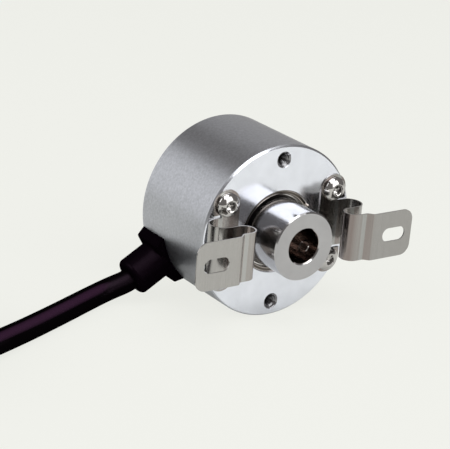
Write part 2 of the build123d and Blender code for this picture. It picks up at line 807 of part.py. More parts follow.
ring_in = coil_r - coil_columns * coil_pitch / 2
ring_out = coil_r + coil_columns * coil_pitch / 2
coil_h = cable_d + (coil_layers - 1) * coil_pitch
stub_start = Vector(*cable_route[-1])
stub_way = (stub_start - Vector(*cable_route[-2])).normalized()
stub_l = (Vector(*coil_centre, stub_start.Z) - stub_start).dot(stub_way)
tail_start = Vector(*cable_tail_route[0])
tail_way = (Vector(*cable_tail_route[1]) - tail_start).normalized()
exit_centre = tail_start + Vector(tail_way.Y, -tail_way.X, 0) * coil_exit_r
exit_end = degrees(atan2(tail_start.Y - exit_centre.Y, tail_start.X - exit_centre.X))


def coil_ring(grow, angle=360.0, start=0.0):
    """The coil's outer shape, or a sector of it, grown by a thickness."""
    with BuildPart(mode=Mode.PRIVATE) as body:
        with BuildSketch(Plane.XZ):
            with Locations((coil_r, coil_floor + coil_h / 2)):
                RectangleRounded(ring_out - ring_in + 2 * grow, coil_h + 2 * grow, coil_corner + grow)
        revolve(axis=Axis.Z, revolution_arc=angle)
    return body.part.rotate(Axis.Z, start).moved(Location((*coil_centre, 0)))


with BuildPart() as cable_coil:
    add(coil_ring(0))
    with BuildSketch(Plane(origin=stub_start, z_dir=stub_way)):
        Circle(cable_d / 2)
    extrude(amount=stub_l)
    with BuildLine(Plane.XY.offset(tail_start.Z)) as opening:
        CenterArc((exit_centre.X, exit_centre.Y), coil_exit_r, exit_end, coil_exit_arc)
    with BuildSketch(Plane(origin=tail_start, z_dir=-tail_way)):
        Circle(cable_d / 2)
    sweep(path=opening.wire())
save(cable_coil, "cable_coil")

tail, tail_tube_l = tube(cable_tail_route, cable_d)
with BuildPart() as cable_tail:
    add(tail)
save(cable_tail, "cable_tail")

# Two ties round the coil
tie_span = degrees(tie_w / coil_r)
with BuildPart() as cable_ties:
    for angle in tie_angles:
        band = coil_ring(tie_t, tie_span, angle - tie_span / 2)
        add(band - coil_ring(0))
save(cable_ties, "cable_ties")

# Bare conductors at the end of the tail
end = Vector(*cable_tail_route[-1])
end_way = (end - Vector(*cable_tail_route[-2])).normalized()
flat_way = Vector(end_way.X, end_way.Y, 0).normalized()
side_way = Vector(-flat_way.Y, flat_way.X, 0)
up_way = end_way.cross(side_way)
with BuildPart() as lead_wires:
    for i in range(wire_count):
        offset = i - (wire_count - 1) / 2
        first = end + side_way * (lead_wire_pitch * offset) + up_way * lead_wire_rows[i % 2]
        last_z = floor_z + lead_wire_d / 2 + lead_wire_rest
        second = first + end_way * (lead_wire_l * 0.25)
        third = first + flat_way * (lead_wire_l * 0.6) + side_way * (offset * lead_wire_spread * 0.55)
        third = Vector(third.X, third.Y, (second.Z + last_z) / 2 - 0.2)
        fourth = first + flat_way * lead_wire_l + side_way * (offset * lead_wire_spread)
        fourth = Vector(fourth.X, fourth.Y, last_z)
        add(tube([tuple(first), tuple(second), tuple(third), tuple(fourth)], lead_wire_d)[0])
save(lead_wires, "lead_wires")

for name, points in (("cable", cable_route), ("tail", cable_tail_route)):
    print(name, "radii in diameters", [round(r / cable_d, 1) for r in cord_radii(points)])
turn_radii = [coil_r + coil_pitch * k for k in (1, 0, -1, -1, 0, 1, 0, 1)]
turn_l = 2 * pi * sum(turn_radii)
exit_l = radians(coil_exit_arc) * coil_exit_r
print("lead", round(lead_l, 1), "coil", round(stub_l + turn_l + exit_l, 1), "tail", round(tail_tube_l, 1))
print("lead volume", round(lead.volume, 1), "section by length", round(lead_l * pi * cable_d ** 2 / 4, 1))
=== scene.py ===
"""Studio scene of an incremental rotary encoder with a stator coupling. Metres, Z up.

The CAD nodes keep their shapes and get their materials here. The cable and its conductors are
drawn as splines along the routes of their CAD solids. The screws, the snap ring, the ties and
the threads in the tapped holes are meshes with the detail that the solids leave out.
"""
import math

import bmesh
import bpy
from mathutils import Matrix, Vector


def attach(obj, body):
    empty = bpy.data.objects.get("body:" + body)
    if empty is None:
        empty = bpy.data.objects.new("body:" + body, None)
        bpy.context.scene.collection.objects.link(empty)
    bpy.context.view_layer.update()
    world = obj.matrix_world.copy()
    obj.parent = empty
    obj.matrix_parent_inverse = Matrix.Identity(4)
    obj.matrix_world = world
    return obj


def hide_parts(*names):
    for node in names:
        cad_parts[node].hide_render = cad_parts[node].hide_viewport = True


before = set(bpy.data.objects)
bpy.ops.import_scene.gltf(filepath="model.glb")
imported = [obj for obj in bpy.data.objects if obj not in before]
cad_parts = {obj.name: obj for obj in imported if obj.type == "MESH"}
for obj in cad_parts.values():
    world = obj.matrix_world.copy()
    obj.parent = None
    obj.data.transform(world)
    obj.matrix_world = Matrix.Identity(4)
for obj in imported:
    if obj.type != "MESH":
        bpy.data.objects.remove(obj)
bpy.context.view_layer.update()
scene = bpy.context.scene
MM = 0.001

# Camera, at the photograph's place
IMAGE_WIDTH = 450
FOCAL_PIXELS = 1575.087
SENSOR = 36.0
AZIMUTH = math.radians(-35.97752)
ELEVATION = math.radians(20.17830)
ROLL = math.radians(4.83849)
DISTANCE = 360.6 * MM
TARGET = Vector((-2.52809, 16.39203, -3.70427)) * MM

back = Vector((
    math.sin(AZIMUTH) * math.cos(ELEVATION),
    -math.cos(AZIMUTH) * math.cos(ELEVATION),
    math.sin(ELEVATION),
))
level = Vector((0, 0, 1)).cross(back).normalized()
upright = back.cross(level)
right = math.cos(ROLL) * level + math.sin(ROLL) * upright
up = -math.sin(ROLL) * level + math.cos(ROLL) * upright
lens = bpy.data.cameras.new("camera")
lens.sensor_width = SENSOR
lens.sensor_fit = "HORIZONTAL"
lens.lens = FOCAL_PIXELS / IMAGE_WIDTH * SENSOR
lens.clip_start = 0.01
lens.clip_end = 20
camera = bpy.data.objects.new("camera", lens)
turned_to_object = Matrix((right, up, back)).transposed().to_4x4()
camera.matrix_world = Matrix.Translation(TARGET + back * DISTANCE) @ turned_to_object
scene.collection.objects.link(camera)
scene.camera = camera


def polar(radius, angle, centre=(0, 0)):
    """A point at a radius and an angle about a centre."""
    return centre[0] + radius * math.cos(angle), centre[1] + radius * math.sin(angle)


def add_piece(name, data):
    """A new piece of the visual model. All of them ride the housing."""
    obj = bpy.data.objects.new(name, data)
    scene.collection.objects.link(obj)
    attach(obj, "housing")
    return obj


def curve_object(name, points, radius):
    """A round cord whose NURBS spline has the points as its control points, in millimetres."""
    data = bpy.data.curves.new(name, "CURVE")
    data.dimensions = "3D"
    # The points' radii carry the size, because Blender adds them to a curve's bounds as they are.
    data.bevel_depth = 1.0
    data.bevel_resolution = 6
    data.resolution_u = 10
    data.use_fill_caps = True
    spline = data.splines.new("NURBS")
    spline.points.add(len(points) - 1)
    for point, place in zip(spline.points, points):
        point.co = (place[0] * MM, place[1] * MM, place[2] * MM, 1)
        point.radius = radius * MM
    spline.order_u = 3
    spline.use_endpoint_u = True
    return add_piece(name, data)


# Cable: out of the boot, down to the floor, into the coil, and out to its bare end
CABLE_D = 5.2
cable_route = [
    (-24.987, 19.900, -14.719),
    (-26.020, 19.900, -15.330),
    (-29.600, 20.450, -16.450),
    (-33.200, 20.150, -17.250),
    (-38.900, 17.760, -17.400),
    (-45.700, 14.600, -17.400),
    (-57.600, 9.200, -17.300),
    (-67.500, 4.400, -16.600),
]
cable_tail_route = [
    (-120.190, -5.770, -6.200),
    (-127.750, -3.150, -6.200),
    (-135.040, 1.230, -8.000),
    (-140.500, 7.740, -12.000),
    (-143.550, 15.680, -15.900),
    (-143.990, 24.170, -17.300),
    (-142.400, 31.000, -17.400),
]
COIL_CENTRE = Vector((-99.5, 24.5))
COIL_START = math.radians(-64.15)
TURN_POINTS = 16
CROSSING = 4             # points at a turn's end in which it moves over to the next turn's place
OUTER, MIDDLE, INNER = 31.4, 26.2, 21.0
LOW, MID, HIGH = -16.6, -11.4, -6.2
turns = [
    (OUTER, LOW), (MIDDLE, LOW), (INNER, LOW),
    (INNER, MID), (MIDDLE, MID), (OUTER, MID),
    (MIDDLE, HIGH), (OUTER, HIGH),
]
OPENING_R = 45.0
OPENING_DEGREES = (45, 30, 15)


def coil_points():
    """Control points of the coil's turns, clockwise seen from above."""
    points = []
    outside = 1 / math.cos(math.pi / TURN_POINTS)   # a spline runs inside its control points
    for turn, (radius, height) in enumerate(turns):
        after = turns[min(turn + 1, len(turns) - 1)]
        for i in range(TURN_POINTS):
            move = max(0, i - (TURN_POINTS - CROSSING)) / CROSSING
            r = (radius + (after[0] - radius) * move) * outside
            z = height + (after[1] - height) * move
            angle = COIL_START - 2 * math.pi * i / TURN_POINTS
            points.append((*polar(r, angle, COIL_CENTRE), z))
    return points


def opening_points():
    """The last turn opens along an arc that leads into the tail."""
    tail = Vector(cable_tail_route[0])
    heading = Vector(cable_tail_route[1]) - tail
    heading = Vector((heading.x, heading.y)).normalized()
    centre = Vector((tail.x, tail.y)) + Vector((heading.y, -heading.x)) * OPENING_R
    end = math.atan2(tail.y - centre.y, tail.x - centre.x)
    return [
        (*polar(OPENING_R, end + math.radians(turned), centre), tail.z)
        for turned in OPENING_DEGREES
    ]


whole_route = cable_route + coil_points()[1:] + opening_points() + cable_tail_route
cable = curve_object("cable", whole_route, CABLE_D / 2)
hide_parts("cable_lead", "cable_coil", "cable_tail")

# Conductors at the cable's end, their tips stripped and tinned
CONDUCTORS = 5
WIRE_D = 1.2
WIRE_L = 20.0
WIRE_PITCH = 0.72        # from conductor to conductor where they leave the jacket
WIRE_LIFTS = (-0.6, 1.0)
WIRE_SPREAD = 2.6        # from tip to tip
FIRST_BEND, SECOND_BEND = 0.25, 0.6     # shares of a conductor's length
BEND_SPREAD = 0.55       # the share of the spread that is reached at the second bend
BEND_SAG = 0.2
CORE_D = 0.75
INSULATED = 0.74         # the share of a conductor that its insulation covers
CORE_OVERLAP = 2         # steps by which the bare tip runs back into the insulation
WIRE_STEPS = 24
FLOOR = -20.0
ABOVE_FLOOR = 0.05


def along_spline(control, steps):
    """Points of the clamped quadratic spline through four control points."""
    a, b, c, d = control
    middle = (b + c) / 2
    points = []
    for k in range(steps + 1):
        t = 2 * k / steps
        if t <= 1:
            first, second, third = a, b, middle
        else:
            t -= 1
            first, second, third = middle, c, d
        points.append(first * (1 - t) ** 2 + second * 2 * t * (1 - t) + third * t * t)
    return points


cable_end = Vector(cable_tail_route[-1])
end_way = (cable_end - Vector(cable_tail_route[-2])).normalized()
flat_way = Vector((end_way.x, end_way.y, 0)).normalized()
side_way = Vector((-flat_way.y, flat_way.x, 0))
up_way = end_way.cross(side_way)
wires = []
cores = []
for i in range(CONDUCTORS):
    offset = i - CONDUCTORS // 2
    rest_z = FLOOR + WIRE_D / 2 + ABOVE_FLOOR
    first = cable_end + side_way * WIRE_PITCH * offset + up_way * WIRE_LIFTS[i % 2]
    second = first + end_way * WIRE_L * FIRST_BEND
    third = first + flat_way * WIRE_L * SECOND_BEND + side_way * offset * WIRE_SPREAD * BEND_SPREAD
    third.z = (second.z + rest_z) / 2 - BEND_SAG
    fourth = first + flat_way * WIRE_L + side_way * offset * WIRE_SPREAD
    fourth.z = rest_z
    route = along_spline([first, second, third, fourth], WIRE_STEPS)
    covered = round(WIRE_STEPS * INSULATED)
    wires.append(curve_object(f"lead_wire_{i}", route[:covered + 1], WIRE_D / 2))
    cores.append(curve_object(f"lead_wire_core_{i}", route[covered - CORE_OVERLAP:], CORE_D / 2))
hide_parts("lead_wires")

# Meshes are built from rows of points, each row a closed loop
AROUND = 48
SMOOTH_BELOW = math.radians(40)
QUARTER_STEPS = (0, 30, 60, 90)      # degrees at which a rounded corner has its points


def mesh_object(name, vertices, faces):
    """A closed mesh, its points in millimetres."""
    data = bpy.data.meshes.new(name)
    data.from_pydata([tuple(c * MM for c in v) for v in vertices], [], faces)
    shape = bmesh.new()
    shape.from_mesh(data)
    bmesh.ops.recalc_face_normals(shape, faces=shape.faces)
    for edge in shape.edges:
        edge.smooth = edge.is_manifold and edge.calc_face_angle() < SMOOTH_BELOW
    for face in shape.faces:
        face.smooth = True
    shape.to_mesh(data)
    shape.free()
    return add_piece(name, data)


def bridge(rows, closed=True):
    """Faces between equal rows of points. Each row is closed; so is the list of rows, if asked."""
    count = len(rows[0])
    pairs = list(zip(rows, rows[1:]))
    if closed:
        pairs.append((rows[-1], rows[0]))
    return [
        (near[i], near[(i + 1) % count], far[(i + 1) % count], far[i])
        for near, far in pairs
        for i in range(count)
    ]


def capped(rows):
    """Faces from row to row, with a flat face at each end."""
    return bridge(rows, closed=False) + [tuple(rows[0]), tuple(reversed(rows[-1]))]


def turned_object(name, profile, centre=(0, 0)):
    """A closed turned piece. Its profile is (y, radius) pairs; a radius may depend on the angle."""
    vertices, rows = [], []
    for y, radius in profile:
        start = len(vertices)
        for i in range(AROUND):
            angle = 2 * math.pi * i / AROUND
            x, z = polar(radius(angle) if callable(radius) else radius, angle, centre)
            vertices.append((x, y, z))
        rows.append(list(range(start, start + AROUND)))
    return mesh_object(name, vertices, capped(rows))


THREAD_STEP = 0.05
THREAD_PITCH = 0.5
FLANK = 1.25             # above 1, so that a thread is flat at its high radius


def helix(y, low, high):
    """The radius round a thread at a height, between its low and its high radius."""
    def radius(angle):
        phase = (y / THREAD_PITCH - angle / (2 * math.pi)) % 1
        return low + (high - low) * min(1, abs(2 * phase - 1) * FLANK)
    return radius


# Threads in the flange's two tapped holes, running out into the countersinks
TAP_R = 1.249
TAP_CLEAR = 0.012        # from the hole's wall to the sleeve's front edge
THREAD_CLEAR = 0.01      # from there to the thread
TAP_DEPTH = 0.19
MOUTH_DEPTH = 0.11
MOUTH_Y = 0.65           # where the countersink ends
TAP_FRONT_Y = 0.03
TAP_END_Y = 4.98
TAP_FLOOR_Y = 4.80
TAP_CENTRES = ((0, 16.7), (0, -16.7))


def tap_wall(y):
    """Radius just inside the hole's wall or its countersink."""
    return TAP_R - TAP_CLEAR + max(0, MOUTH_Y - y)


def thread_sleeve(name, centre):
    """A threaded cup that lines a tapped hole."""
    profile = [(TAP_END_Y, TAP_R), (MOUTH_Y, TAP_R), (TAP_FRONT_Y, tap_wall(TAP_FRONT_Y))]
    steps = round((TAP_FLOOR_Y - TAP_FRONT_Y) / THREAD_STEP)
    for k in range(steps + 1):
        y = TAP_FRONT_Y + k * THREAD_STEP
        depth = TAP_DEPTH if y > MOUTH_Y else MOUTH_DEPTH
        wall = tap_wall(y) - THREAD_CLEAR
        profile.append((y, helix(y, wall - depth, wall)))
    return turned_object(name, profile, centre)


threads = [thread_sleeve(f"tap_thread_{i}", centre) for i, centre in enumerate(TAP_CENTRES)]

# Button-head screws with a rounded head, a chamfered hexagon socket and a threaded shank
SCREW_R = 16.7
SCREW_ANGLES = (30, 150, 210, 330)
HEAD_R = 2.75
HEAD_BASE_Y = -0.30
HEAD_SIDE_Y = -0.85
HEAD_TOP_Y = -1.95
HEAD_FLAT_R = 1.45
DOME_R = 2.2
DOME_STEPS = 12
UNDERCUT = 0.14
SOCKET_AF = 2.0
SOCKET_MOUTH = ((0.0, 1.30), (0.04, 1.22))       # depth from the head's top, radius
SOCKET_WALL = ((0.14, 1.01), (0.20, 1.0))        # depth from the head's top, scale of the hexagon
SOCKET_FOOT = ((-0.05, 1.0), (0.0, 0.94))        # depth from the socket's floor, scale
SOCKET_FLOOR_Y = -0.92
SOCKET_TIP = (-0.68, 0.05)
SHANK_R = 1.5
SHANK_END_Y = 4.0
SHANK_TIP = ((0.0, 0.35), (0.3, 0.1))            # distance from the end, how far it is drawn in
SHANK_DEPTH = 0.25
THREAD_FIRST = 0.35      # distance from the end
THREAD_LAST_Y = 0.1
NECK_Y = 0.05


def hexagon(scale):
    """Radius of a hexagon at an angle, its corners on X."""
    def radius(angle):
        from_flat = angle % (math.pi / 3) - math.pi / 6
        return scale * SOCKET_AF / 2 / math.cos(from_flat)
    return radius


def dome():
    """Points of the head's arc, from its side to its flat top."""
    side = Vector((HEAD_R, HEAD_SIDE_Y))
    top = Vector((HEAD_FLAT_R, HEAD_TOP_Y))
    half = (top - side) / 2
    inward = Vector((half.y, -half.x)).normalized()
    middle = (side + top) / 2 + inward * math.sqrt(DOME_R ** 2 - half.length ** 2)
    first = math.atan2(side.y - middle.y, side.x - middle.x)
    last = math.atan2(top.y - middle.y, top.x - middle.x)
    points = []
    for k in range(DOME_STEPS + 1):
        radius, y = polar(DOME_R, first + (last - first) * k / DOME_STEPS, middle)
        points.append((y, radius))
    return points


def button_screw(name, centre):
    """One coupling screw."""
    profile = [(SHANK_END_Y - y, SHANK_R - drawn_in) for y, drawn_in in SHANK_TIP]
    y = SHANK_END_Y - THREAD_FIRST
    while y > THREAD_LAST_Y:
        profile.append((y, helix(y, SHANK_R - SHANK_DEPTH, SHANK_R)))
        y -= THREAD_STEP
    profile += [
        (NECK_Y, SHANK_R),
        (HEAD_BASE_Y, SHANK_R),
        (HEAD_BASE_Y, HEAD_R - UNDERCUT),
        (HEAD_BASE_Y - UNDERCUT, HEAD_R),
    ]
    profile += dome()
    profile += [(HEAD_TOP_Y + depth, radius) for depth, radius in SOCKET_MOUTH]
    profile += [(HEAD_TOP_Y + depth, hexagon(scale)) for depth, scale in SOCKET_WALL]
    profile += [(SOCKET_FLOOR_Y + depth, hexagon(scale)) for depth, scale in SOCKET_FOOT]
    profile.append(SOCKET_TIP)
    return turned_object(name, profile, centre)


screws = [
    button_screw(f"coupling_screw_{i}", polar(SCREW_R, math.radians(degrees)))
    for i, degrees in enumerate(SCREW_ANGLES)
]
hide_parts("coupling_screws")

# Snap ring: rounded edges, open at one place, its two ends set a little proud
SNAP_IN, SNAP_OUT = 8.51, 9.96
SNAP_FRONT, SNAP_BACK = 0.45, 1.35
SNAP_ROUND = 0.22
SNAP_OPENING = 27.0
SNAP_HALF_GAP = 3.2
SNAP_STEPS = 120
SNAP_END_RISE = 0.44
SNAP_END_LENGTH = 3.4    # degrees over which an end stands proud
SNAP_SLOPE = 0.5         # degrees over which it comes down


def snap_section(rise):
    """The ring's rounded section as (radius, y), its front moved forwards by a rise."""
    corners = (
        (SNAP_OUT, SNAP_BACK, 0), (SNAP_IN, SNAP_BACK, 90),
        (SNAP_IN, SNAP_FRONT - rise, 180), (SNAP_OUT, SNAP_FRONT - rise, 270),
    )
    points = []
    for r, y, first in corners:
        middle_r = r + (SNAP_ROUND if r == SNAP_IN else -SNAP_ROUND)
        middle_y = y + (-SNAP_ROUND if y == SNAP_BACK else SNAP_ROUND)
        for turned in QUARTER_STEPS:
            points.append(polar(SNAP_ROUND, math.radians(first + turned), (middle_r, middle_y)))
    return points


def formed_ring(name):
    """The snap ring, swept from one end to the other."""
    vertices, rows = [], []
    first_end = SNAP_OPENING + SNAP_HALF_GAP
    span = 360 - 2 * SNAP_HALF_GAP
    for k in range(SNAP_STEPS + 1):
        angle = math.radians(first_end + span * k / SNAP_STEPS)
        from_end = min(k, SNAP_STEPS - k) * span / SNAP_STEPS
        rise = SNAP_END_RISE * max(0, min(1, (SNAP_END_LENGTH - from_end) / SNAP_SLOPE))
        start = len(vertices)
        for r, y in snap_section(rise):
            x, z = polar(r, angle)
            vertices.append((x, y, z))
        rows.append(list(range(start, len(vertices))))
    return mesh_object(name, vertices, capped(rows))


snap_ring = formed_ring("snap_ring_formed")
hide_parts("snap_ring")

# Two ties round the coil: a band that hugs the turns, its head on top and its cut tail
TIE_T = 0.8
TIE_W = 3.0
TIE_EDGE = 0.15          # chamfer along the band
TIE_ANGLES = (26.0, 206.0)
TIE_HEAD = (4.6, 5.2, 2.6)
TIE_HEAD_CORNER = 0.5
TIE_HEAD_LIFT = 0.1      # above the coil's top
TIE_TAIL = (2.4, 3.4, 0.7)
TIE_TAIL_CORNER = 0.3
TIE_TAIL_LIFT = 1.3
RIM_INSET = 0.7          # how much of a corner's rounding its rims take
BEND_STEPS = 8
hugged = [(OUTER, LOW), (OUTER, HIGH), (MIDDLE, HIGH), (INNER, MID), (INNER, LOW)]


def band_outline(gap):
    """The outline round the hugged turns, at a gap from their surface."""
    outline = []
    radius = CABLE_D / 2 + gap
    for k, (r, z) in enumerate(hugged):
        before, after = hugged[k - 1], hugged[(k + 1) % len(hugged)]
        first = math.atan2(-(r - before[0]), z - before[1])
        last = math.atan2(-(after[0] - r), after[1] - z)
        if last < first:
            last += 2 * math.pi
        # The outline runs with the turns on its left, so the outside is turned clockwise.
        for j in range(BEND_STEPS + 1):
            turned = first + (last - first) * j / BEND_STEPS + math.pi
            outline.append(polar(-radius, turned, (r, z)))
    return outline


def coil_place(angle, r, across, z):
    """A point at a radius of the coil, moved sideways along its turns."""
    out = Vector((math.cos(angle), math.sin(angle)))
    along = Vector((-math.sin(angle), math.cos(angle)))
    place = COIL_CENTRE + out * r + along * across
    return (place.x, place.y, z)


def tie_band(angle):
    """Points and faces of the band, with its outer edges broken."""
    vertices, rows = [], []
    share = TIE_EDGE / TIE_T
    for (r_in, z_in), (r_out, z_out) in zip(band_outline(0.0), band_outline(TIE_T)):
        start = len(vertices)
        r_low, z_low = r_out + (r_in - r_out) * share, z_out + (z_in - z_out) * share
        section = (
            (r_in, -TIE_W / 2, z_in), (r_low, -TIE_W / 2, z_low), (r_out, -TIE_W / 2 + TIE_EDGE, z_out),
            (r_out, TIE_W / 2 - TIE_EDGE, z_out), (r_low, TIE_W / 2, z_low), (r_in, TIE_W / 2, z_in),
        )
        vertices += [coil_place(angle, *point) for point in section]
        rows.append(list(range(start, len(vertices))))
    return vertices, bridge(rows)


def rounded_block(size, corner, angle, r, base_z):
    """Points and faces of a block on the coil, its upright edges and its rims rounded off."""
    vertices, rows = [], []
    across, outward, high = size
    for inset, z in ((corner, 0), (0, corner), (0, high - corner), (corner, high)):
        start = len(vertices)
        radius = corner - inset * RIM_INSET
        for sx, sy, first in ((1, 1, 0), (-1, 1, 90), (-1, -1, 180), (1, -1, 270)):
            middle = (sx * (across / 2 - corner), sy * (outward / 2 - corner))
            for turned in QUARTER_STEPS:
                x, y = polar(radius, math.radians(first + turned), middle)
                vertices.append(coil_place(angle, r + y, x, base_z + z))
        rows.append(list(range(start, len(vertices))))
    ends = [tuple(reversed(rows[0])), tuple(rows[-1])]
    return vertices, bridge(rows, closed=False) + ends


def joined(name, parts):
    """One piece of several closed shells."""
    vertices, faces = [], []
    for part_vertices, part_faces in parts:
        start = len(vertices)
        vertices += part_vertices
        faces += [tuple(i + start for i in face) for face in part_faces]
    return mesh_object(name, vertices, faces)


def cable_tie(name, angle):
    """A whole tie."""
    top = HIGH + CABLE_D / 2
    head_r = (MIDDLE + OUTER) / 2
    tail_r = head_r + TIE_HEAD[1] / 2
    return joined(name, [
        tie_band(angle),
        rounded_block(TIE_HEAD, TIE_HEAD_CORNER, angle, head_r, top + TIE_HEAD_LIFT),
        rounded_block(TIE_TAIL, TIE_TAIL_CORNER, angle, tail_r, top + TIE_TAIL_LIFT),
    ])


ties = [cable_tie(f"cable_tie_{k}", math.radians(degrees)) for k, degrees in enumerate(TIE_ANGLES)]
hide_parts("cable_ties")

# Materials. Patterns are in the frame's own metres, so they keep their size on every piece.
MIX_SOCKETS = {"RGBA": (6, 7, 2), "FLOAT": (2, 3, 0)}     # a mix node's two inputs and its output
NOISE_LOW, NOISE_HIGH = 0.3, 0.7                          # nearly all of a noise lies between


def shader_of(mat):
    """A material's shader."""
    return mat.node_tree.nodes["Principled BSDF"]


def principled(name, colour, roughness, metallic=0.0, **sockets):
    """A new material with its even values set on the shader's own sockets."""
    mat = bpy.data.materials.new(name)
    mat.use_nodes = True
    shader = shader_of(mat)
    shader.inputs["Base Color"].default_value = (*colour, 1)
    shader.inputs["Roughness"].default_value = roughness
    shader.inputs["Metallic"].default_value = metallic
    for socket, value in sockets.items():
        shader.inputs[socket.replace("_", " ")].default_value = value
    return mat


def feed(mat, socket, value):
    """Gives an input another node's output, or a value of its own."""
    if isinstance(value, bpy.types.NodeSocket):
        mat.node_tree.links.new(value, socket)
    else:
        socket.default_value = value


def add_node(mat, kind, *values, **named):
    """A node with its properties set, and its inputs fed by name or in their order."""
    new = mat.node_tree.nodes.new(kind)
    for key, value in named.items():
        if key in new.inputs:
            feed(mat, new.inputs[key], value)
        else:
            setattr(new, key, value)
    for socket, value in zip(new.inputs, values):
        feed(mat, socket, value)
    return new


def maths(mat, operation, *values):
    """A number worked out from others."""
    return add_node(mat, "ShaderNodeMath", *values, operation=operation).outputs[0]


def mixed(mat, kind, share, first, second):
    """A colour or a number between two others."""
    first_socket, second_socket, result = MIX_SOCKETS[kind]
    mix = add_node(mat, "ShaderNodeMix", data_type=kind, Factor=share)
    feed(mat, mix.inputs[first_socket], first)
    feed(mat, mix.inputs[second_socket], second)
    return mix.outputs[result]


def spread(mat, value, start, end, low=0.0, high=1.0):
    """A number that goes from low to high where a value goes from start to end."""
    limits = {"From Min": start, "From Max": end, "To Min": low, "To Max": high}
    return add_node(mat, "ShaderNodeMapRange", Value=value, **limits).outputs["Result"]


def colour_ramp(mat, value, stops):
    """A colour that follows a value through a list of (position, colour)."""
    ramp = add_node(mat, "ShaderNodeValToRGB", Fac=value)
    elements = ramp.color_ramp.elements
    for position, _ in stops[1:-1]:      # a new ramp has its first and its last stop
        elements.new(position)
    for element, (position, colour) in zip(elements, stops):
        element.position = position
        element.color = (*colour, 1)
    return ramp.outputs["Color"]


def coordinates(mat, kind):
    """A point's place ("Object") or its surface's direction ("Normal")."""
    return add_node(mat, "ShaderNodeTexCoord").outputs[kind]


def along_axis(mat, kind, axis):
    """One axis of a point's place or of its surface's direction."""
    return add_node(mat, "ShaderNodeSeparateXYZ", coordinates(mat, kind)).outputs[axis]


def noise(mat, scales, detail=2.0):
    """Noise in the frame's coordinates, with its own scale along X, Y and Z, in cycles per metre."""
    mapping = add_node(mat, "ShaderNodeMapping", Vector=coordinates(mat, "Object"), Scale=scales)
    vector = mapping.outputs["Vector"]
    texture = add_node(mat, "ShaderNodeTexNoise", Vector=vector, Scale=1.0, Detail=detail)
    return texture.outputs["Fac"]


def axis_distance(mat):
    """A point's distance from the encoder's axis."""
    place = coordinates(mat, "Object")
    flat = add_node(mat, "ShaderNodeVectorMath", place, (1, 0, 1), operation="MULTIPLY")
    radius = add_node(mat, "ShaderNodeVectorMath", flat.outputs[0], operation="LENGTH")
    return radius.outputs["Value"]


def turning(mat, pitch):
    """Uneven rings about the encoder's axis, on faces and on round walls alike."""
    along = maths(mat, "ADD", axis_distance(mat), along_axis(mat, "Object", "Y"))
    texture = add_node(
        mat, "ShaderNodeTexNoise", noise_dimensions="1D", W=along, Scale=1 / pitch, Detail=3.0,
    )
    return texture.outputs["Fac"]


def vary(mat, pattern, low, high):
    """A number that follows a pattern from low to high."""
    return spread(mat, pattern, NOISE_LOW, NOISE_HIGH, low, high)


def scaled(colour, factor):
    """A colour made darker or lighter."""
    return tuple(c * factor for c in colour)


def tint(mat, pattern, colour, shades):
    """A base colour that follows a pattern between two shades of one colour."""
    dark, light = [(*scaled(colour, shade), 1) for shade in shades]
    base = mixed(mat, "RGBA", vary(mat, pattern, 0, 1), dark, light)
    feed(mat, shader_of(mat).inputs["Base Color"], base)


def skin(mat, pattern, roughness, factors, height):
    """Roughness between two factors, and relief with a height in millimetres, from one pattern."""
    low, high = factors
    shader = shader_of(mat)
    feed(mat, shader.inputs["Roughness"], vary(mat, pattern, roughness * low, roughness * high))
    relief = add_node(mat, "ShaderNodeBump", Distance=height * MM, Strength=1.0, Height=pattern)
    feed(mat, shader.inputs["Normal"], relief.outputs["Normal"])


def blend_finish(mat, share, colour, roughness):
    """Changes a finish into another colour and roughness by a share."""
    changes = (("Base Color", "RGBA", (*colour, 1)), ("Roughness", "FLOAT", roughness))
    for name, kind, value in changes:
        socket = shader_of(mat).inputs[name]
        feed(mat, socket, mixed(mat, kind, share, socket.links[0].from_socket, value))


def blend_at_radius(mat, start, end, colour, roughness):
    """Changes a finish where the distance from the encoder's axis goes from start to end."""
    blend_finish(mat, spread(mat, axis_distance(mat), start * MM, end * MM), colour, roughness)


def blend_at_depth(mat, start, end, colour, roughness):
    """Changes a finish where the place along the encoder's axis goes from start to end."""
    depth = along_axis(mat, "Object", "Y")
    blend_finish(mat, spread(mat, depth, start * MM, end * MM), colour, roughness)


def blend_on_edges(mat, colour, roughness):
    """Changes the finish of a sheet's cut edges that look up or down."""
    steep = maths(mat, "ABSOLUTE", along_axis(mat, "Normal", "Z"))
    blend_finish(mat, spread(mat, steep, *EDGE_STEEP), colour, roughness)


def turned_metal(name, colour, roughness, pitch=0.00012, height=0.002):
    """Bright turned metal with fine rings."""
    mat = principled(name, colour, roughness, metallic=1.0)
    tint(mat, noise(mat, (260, 260, 260)), colour, shades=(0.94, 1.03))
    skin(mat, turning(mat, pitch), roughness, factors=(0.8, 1.25), height=height)
    return mat


def rolled_metal(name, colour, roughness, scales, height=0.0015):
    """Rolled or ground metal with a grain that runs along one direction."""
    mat = principled(name, colour, roughness, metallic=1.0)
    grain = noise(mat, scales, detail=4.0)
    tint(mat, grain, colour, shades=(0.92, 1.05))
    skin(mat, grain, roughness, factors=(0.75, 1.3), height=height)
    return mat


def blasted_metal(name, colour, roughness):
    """Bead-blasted metal: an even fine grain with faint cloudiness."""
    mat = principled(name, colour, roughness, metallic=1.0)
    tint(mat, noise(mat, (1900, 1900, 1900), detail=3.0), colour, shades=(0.86, 1.10))
    skin(mat, noise(mat, (5200, 5200, 5200)), roughness, factors=(0.85, 1.2), height=0.006)
    return mat


def moulded_skin(mat, roughness, height):
    """The faint skin of moulded plastic or rubber."""
    pattern = noise(mat, (3200, 3200, 3200), detail=3.0)
    skin(mat, pattern, roughness, factors=(0.88, 1.15), height=height)


